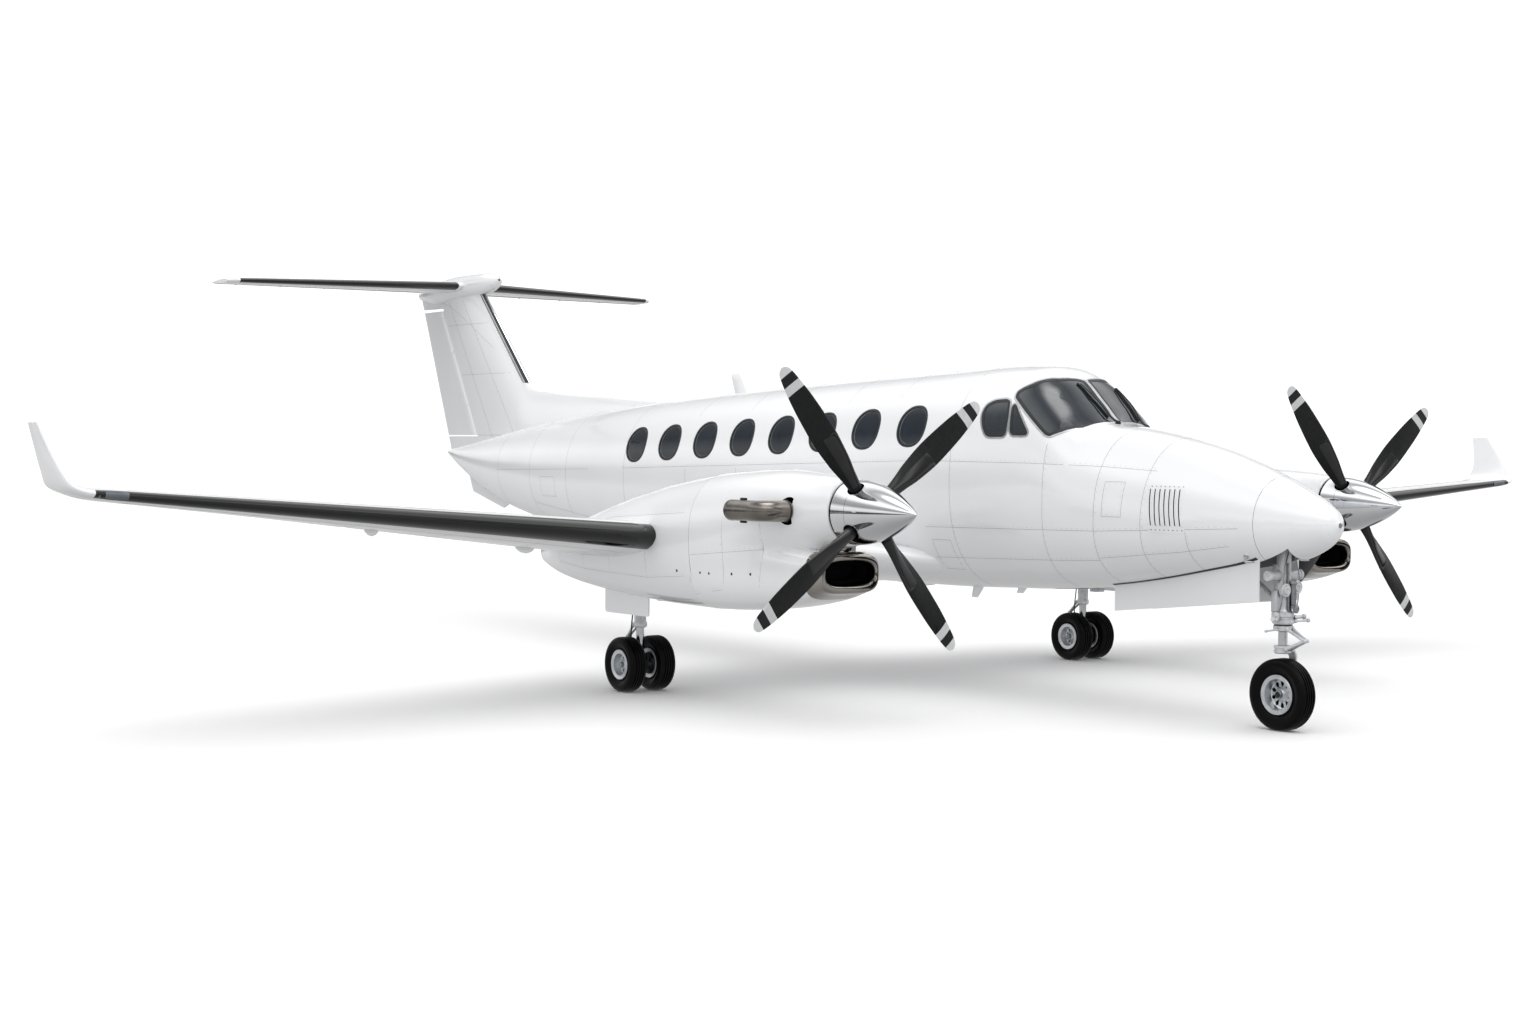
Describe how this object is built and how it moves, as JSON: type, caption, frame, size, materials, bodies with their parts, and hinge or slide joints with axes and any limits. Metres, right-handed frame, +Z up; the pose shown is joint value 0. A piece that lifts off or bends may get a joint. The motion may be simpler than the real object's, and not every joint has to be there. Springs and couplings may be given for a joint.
{
  "type": "turboprop airplane",
  "caption": "Low-wing twin turboprop commuter airplane with winglets, a T-tail and twin-wheel main gear, with turning propellers and wheels, moving control surfaces and an airstair door",
  "frame": {"origin": "On the ground plane, below the centre of the bounding box in X and Y", "axes": "+X to port along the wingspan, -Y to the nose, +Z up"},
  "size_m": [16.5006, 15.07, 4.27],
  "materials": {
    "white_paint": "gloss white paint on aluminium sheet",
    "glass": "dark tinted glazing",
    "graphite_blade": "satin graphite-black paint",
    "chrome": "mirror polish",
    "heat_steel": "heat-tinted steel",
    "engine_steel": "bare machined steel",
    "gear_grey": "silver-grey enamel",
    "wheel_alloy": "bare cast alloy",
    "tyre": "black rubber",
    "deck_grey": "matt dark grey trim"
  },
  "bodies": {
    "airframe": {"radome": "white_paint", "nose_section": "white_paint", "cabin": "white_paint", "tail_cone": "white_paint", "fin": "white_paint", "bullet_fairing": "white_paint", "ventral_fin": "white_paint", "nose_door_starboard": "white_paint", "nose_door_port": "white_paint", "tailplane_starboard": "white_paint", "wing_root_starboard": "white_paint", "wing_outer_starboard": "white_paint", "nacelle_starboard": "white_paint", "cowling_starboard": "white_paint", "main_door_starboard": "white_paint", "tailplane_port": "white_paint", "wing_root_port": "white_paint", "wing_outer_port": "white_paint", "nacelle_port": "white_paint", "cowling_port": "white_paint", "main_door_port": "white_paint", "windshield_starboard": "glass", "side_window_front_starboard": "glass", "side_window_rear_starboard": "glass", "engine_starboard": "engine_steel", "exhaust_outer_starboard": "heat_steel", "exhaust_inner_starboard": "heat_steel", "main_leg_starboard": "gear_grey", "windshield_port": "glass", "side_window_front_port": "glass", "side_window_rear_port": "glass", "engine_port": "engine_steel", "exhaust_outer_port": "heat_steel", "exhaust_inner_port": "heat_steel", "main_leg_port": "gear_grey", "flight_deck": "deck_grey", "nose_leg": "gear_grey"},
    "propeller_starboard": {"propeller_starboard": "graphite_blade", "spinner_starboard": "chrome"},
    "main_wheels_starboard": {"main_wheels_starboard": "wheel_alloy", "main_tyre_inner_starboard": "tyre", "main_tyre_outer_starboard": "tyre"},
    "flap_starboard": {"flap_starboard": "white_paint"},
    "aileron_starboard": {"aileron_starboard": "white_paint"},
    "elevator_starboard": {"elevator_starboard": "white_paint"},
    "propeller_port": {"propeller_port": "graphite_blade", "spinner_port": "chrome"},
    "main_wheels_port": {"main_wheels_port": "wheel_alloy", "main_tyre_inner_port": "tyre", "main_tyre_outer_port": "tyre"},
    "flap_port": {"flap_port": "white_paint"},
    "aileron_port": {"aileron_port": "white_paint"},
    "elevator_port": {"elevator_port": "white_paint"},
    "rudder": {"rudder": "white_paint"},
    "airstair_door": {"airstair_door": "white_paint"},
    "nose_steering": {"nose_fork": "gear_grey"},
    "nose_wheel": {"nose_wheel": "wheel_alloy", "nose_tyre": "tyre"}
  },
  "joints": [
    {"name": "propeller_starboard_spin", "type": "hinge", "parent": "airframe", "child": "propeller_starboard", "pos_m": [-2.78, -5.375, 1.67], "axis": [0, 1, 0], "continuous": true},
    {"name": "main_wheels_starboard_roll", "type": "hinge", "parent": "airframe", "child": "main_wheels_starboard", "pos_m": [-2.69, -2.015, 0.2415], "axis": [1, 0, 0], "continuous": true},
    {"name": "propeller_port_spin", "type": "hinge", "parent": "airframe", "child": "propeller_port", "pos_m": [2.78, -5.375, 1.67], "axis": [0, 1, 0], "continuous": true},
    {"name": "main_wheels_port_roll", "type": "hinge", "parent": "airframe", "child": "main_wheels_port", "pos_m": [2.69, -2.015, 0.2415], "axis": [1, 0, 0], "continuous": true},
    {"name": "nose_steer", "type": "hinge", "parent": "airframe", "child": "nose_steering", "pos_m": [0, -6.995, 0.2795], "axis": [0, 0, 1], "range_deg": [-45, 45]},
    {"name": "nose_wheel_roll", "type": "hinge", "parent": "nose_steering", "child": "nose_wheel", "pos_m": [0, -6.995, 0.2795], "axis": [1, 0, 0], "continuous": true},
    {"name": "flap_starboard_hinge", "type": "hinge", "parent": "airframe", "child": "flap_starboard", "pos_m": [-3.37576, -1.6503, 1.3157], "axis": [-0.9654, -0.2404, 0.1015], "range_deg": [0, 35]},
    {"name": "flap_port_hinge", "type": "hinge", "parent": "airframe", "child": "flap_port", "pos_m": [3.37576, -1.6503, 1.3157], "axis": [-0.9654, 0.2404, -0.1015], "range_deg": [0, 35]},
    {"name": "aileron_starboard_hinge", "type": "hinge", "parent": "airframe", "child": "aileron_starboard", "pos_m": [-5.64961, -2.21657, 1.55483], "axis": [-0.9654, -0.2404, 0.1015], "range_deg": [-20, 20]},
    {"name": "aileron_port_hinge", "type": "hinge", "parent": "airframe", "child": "aileron_port", "pos_m": [5.64961, -2.21657, 1.55483], "axis": [-0.9654, 0.2404, -0.1015], "range_deg": [-20, 20]},
    {"name": "elevator_starboard_hinge", "type": "hinge", "parent": "airframe", "child": "elevator_starboard", "pos_m": [-0.236, 6.99436, 4.1196], "axis": [-0.9997, 0.0212, -0.0108], "range_deg": [-20, 14]},
    {"name": "elevator_port_hinge", "type": "hinge", "parent": "airframe", "child": "elevator_port", "pos_m": [0.236, 6.99436, 4.1196], "axis": [-0.9997, -0.0212, 0.0108], "range_deg": [-20, 14]},
    {"name": "rudder_hinge", "type": "hinge", "parent": "airframe", "child": "rudder", "pos_m": [0, 5.92587, 2.2708], "axis": [0, 0.5157, 0.8568], "range_deg": [-25, 25]},
    {"name": "airstair_door_hinge", "type": "hinge", "parent": "airframe", "child": "airstair_door", "pos_m": [0.58867, 1.485, 1.265], "axis": [-0.088, 0.9961, 0], "range_deg": [0, 125]}
  ],
  "couplings": [
    {"joint": "flap_port_hinge", "follows": "flap_starboard_hinge", "ratio": 1},
    {"joint": "aileron_port_hinge", "follows": "aileron_starboard_hinge", "ratio": -1},
    {"joint": "elevator_port_hinge", "follows": "elevator_starboard_hinge", "ratio": 1}
  ]
}
